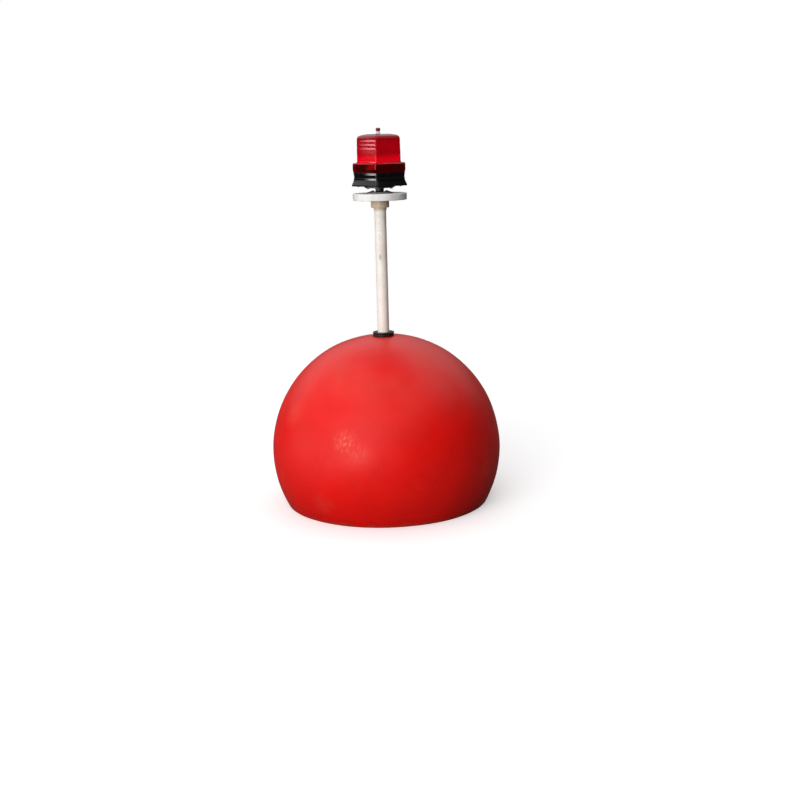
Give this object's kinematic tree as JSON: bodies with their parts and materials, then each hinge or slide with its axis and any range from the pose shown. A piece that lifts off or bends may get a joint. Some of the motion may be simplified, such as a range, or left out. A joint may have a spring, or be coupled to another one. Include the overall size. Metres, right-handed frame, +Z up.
{
  "type": "navigation buoy",
  "caption": "Red ball float with a plastic pole through it, a square red solar warning lamp on a round plate at its head, and iron ballast with a mooring shackle below.",
  "frame": {"origin": "on the buoy's axis at the waterline", "axes": "+Z up along the pole, -Y towards the viewer of the picture, +X to the viewer's right"},
  "size_m": [0.4998, 0.5, 1.1656],
  "materials": {
    "ball_plastic": "red rotationally moulded polyethylene, weathered semi gloss",
    "pole_plastic": "off-white pressure pipe, semi gloss",
    "fitting_plastic": "off-white moulded fitting, semi gloss",
    "plate_plastic": "light grey-white moulded plate, semi gloss",
    "seal_rubber": "black rubber",
    "ballast_iron": "cast iron, tarred and rusting",
    "galvanised": "hot-dip galvanised steel",
    "black_plastic": "black moulded plastic, glossy",
    "foot_metal": "black coated steel",
    "screw_steel": "stainless steel",
    "cover_plastic": "dark red transparent plastic",
    "solar_cells": "dark blue cells under clear resin",
    "lens_plastic": "red transparent plastic, ribbed",
    "stem_plastic": "pale red transparent plastic",
    "knob_plastic": "dark red plastic",
    "board_white": "white circuit board",
    "bulb_resin": "clear resin"
  },
  "bodies": {
    "buoy": {"float_ball": "ball_plastic", "pole_pipe": "pole_plastic", "top_seal_ring": "seal_rubber", "bottom_seal_ring": "seal_rubber", "lock_collar": "fitting_plastic", "ballast_disc_1": "ballast_iron", "ballast_disc_2": "ballast_iron", "ballast_disc_3": "ballast_iron", "stop_collar": "fitting_plastic", "pole_end_cap": "fitting_plastic", "mooring_eye": "galvanised", "head_bush": "fitting_plastic", "head_collar": "fitting_plastic", "lamp_plate": "plate_plastic", "lamp_foot": "foot_metal", "lamp_post": "foot_metal", "lamp_seat_disc": "black_plastic", "seat_screws": "screw_steel", "lamp_housing": "black_plastic", "lamp_base_plate": "black_plastic", "tinted_cover": "cover_plastic", "solar_panel_1": "solar_cells", "solar_panel_2": "solar_cells", "solar_panel_3": "solar_cells", "solar_panel_4": "solar_cells", "panel_frame": "black_plastic", "light_column": "board_white", "light_bulbs": "bulb_resin", "lamp_lens": "lens_plastic", "lens_stem": "stem_plastic", "lens_knob": "knob_plastic"},
    "shackle": {"mooring_shackle": "galvanised", "shackle_pin": "galvanised"}
  },
  "joints": [
    {"name": "shackle_swing", "type": "hinge", "parent": "buoy", "child": "shackle", "pos_m": [0, 0, -0.30814], "axis": [1, 0, 0], "range_deg": [-125, 125]}
  ]
}
